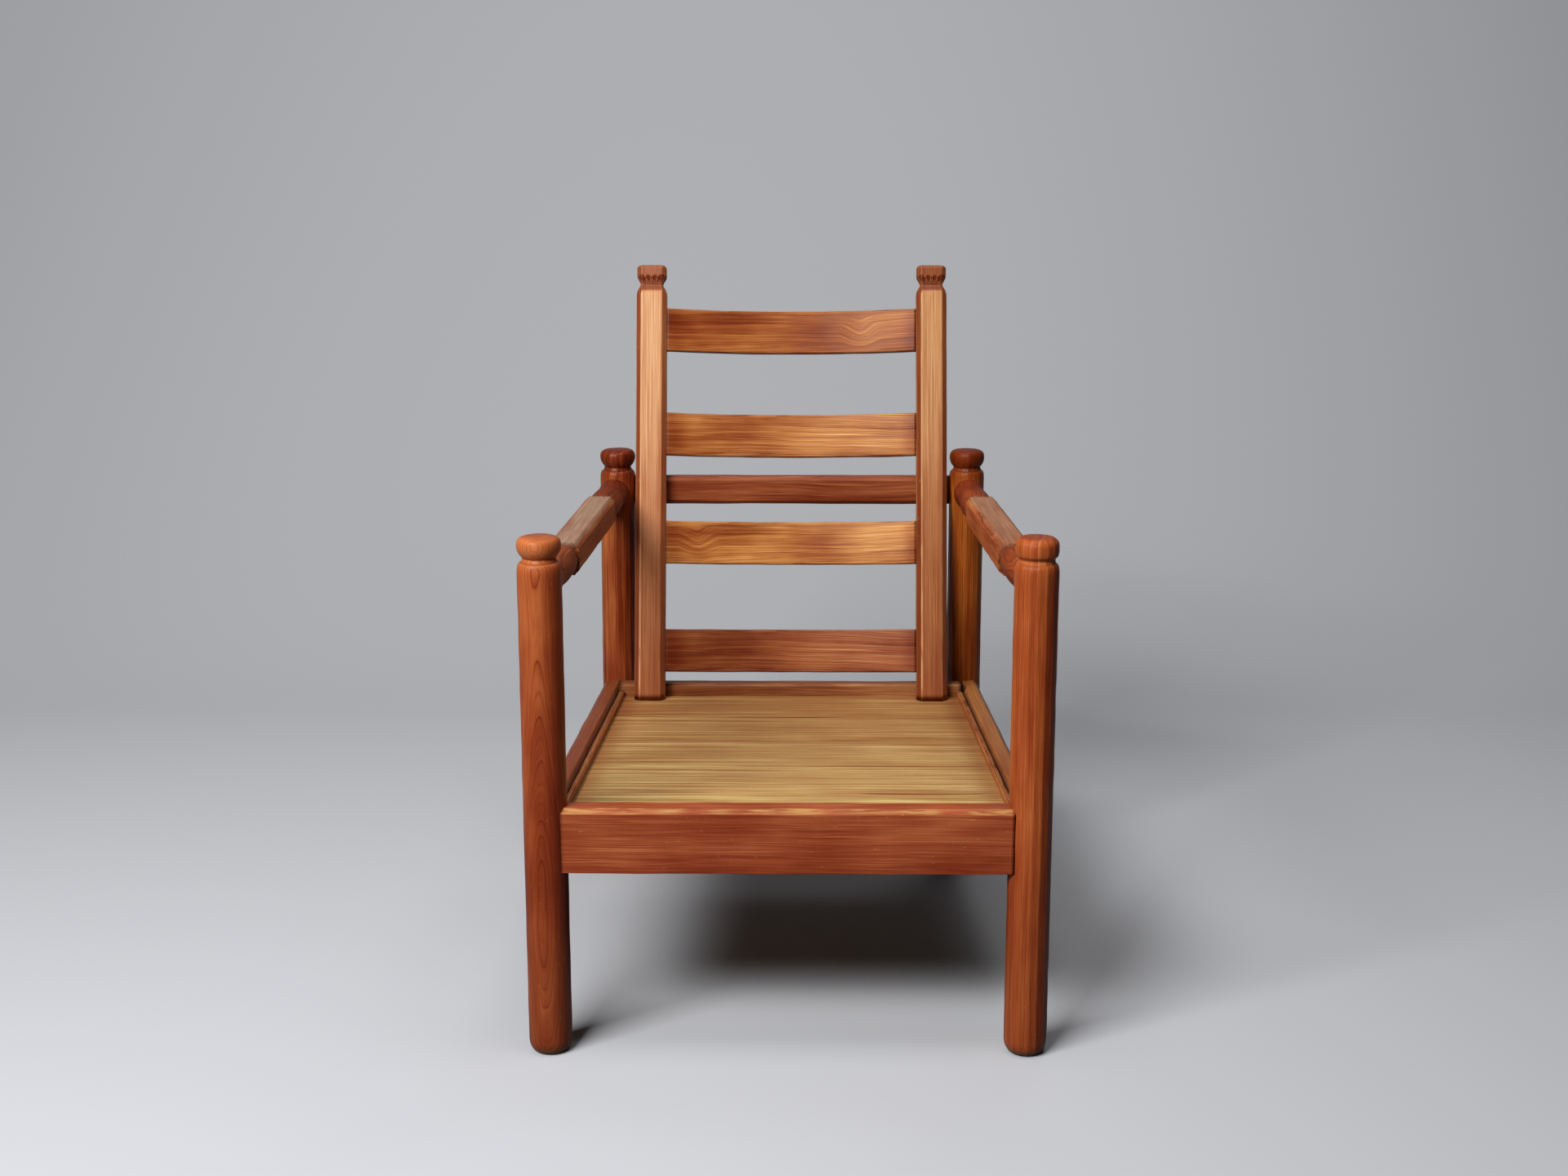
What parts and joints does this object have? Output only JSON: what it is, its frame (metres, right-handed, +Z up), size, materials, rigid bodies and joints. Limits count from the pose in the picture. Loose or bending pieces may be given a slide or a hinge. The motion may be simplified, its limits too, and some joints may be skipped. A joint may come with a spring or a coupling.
{
  "type": "armchair",
  "caption": "Low open pine armchair: round finialled posts, heavy arms with bell ends, a boarded seat, and a loose ladder back that leans on a rear rail and lifts out.",
  "frame": {"origin": "on the floor, under the middle of the chair's bounding box", "axes": "+X to the viewer's right when facing the chair, +Y towards the back, +Z up"},
  "size_m": [0.6498, 0.8074, 0.9283],
  "materials": {
    "frame_pine": "satin varnish, red-brown",
    "arm_pine": "worn varnish, grey-brown tops",
    "back_pine": "satin varnish, golden brown",
    "seat_pine": "dull oiled, olive tan",
    "screw_steel": "dull"
  },
  "bodies": {
    "frame": {"left_front_post": "frame_pine", "right_front_post": "frame_pine", "left_rear_post": "frame_pine", "right_rear_post": "frame_pine", "left_arm": "arm_pine", "right_arm": "arm_pine", "left_side_rail": "frame_pine", "right_side_rail": "frame_pine", "front_rail": "frame_pine", "rear_rail": "frame_pine", "rear_cross_rail": "frame_pine", "front_seat_plank": "seat_pine", "middle_front_seat_plank": "seat_pine", "middle_seat_plank": "seat_pine", "middle_rear_seat_plank": "seat_pine", "rear_seat_plank": "seat_pine", "left_seat_ledger": "frame_pine", "right_seat_ledger": "frame_pine", "left_seat_cleat": "frame_pine", "right_seat_cleat": "frame_pine", "ledger_screws": "screw_steel"},
    "back": {"left_stile": "back_pine", "right_stile": "back_pine", "left_foot_peg": "back_pine", "right_foot_peg": "back_pine", "bottom_slat": "back_pine", "lower_slat": "back_pine", "upper_slat": "back_pine", "top_slat": "back_pine"}
  },
  "joints": [
    {"name": "back_lift", "type": "slide", "parent": "frame", "child": "back", "axis": [0, 0.2584, 0.966], "range_m": [0, 0.017]}
  ]
}
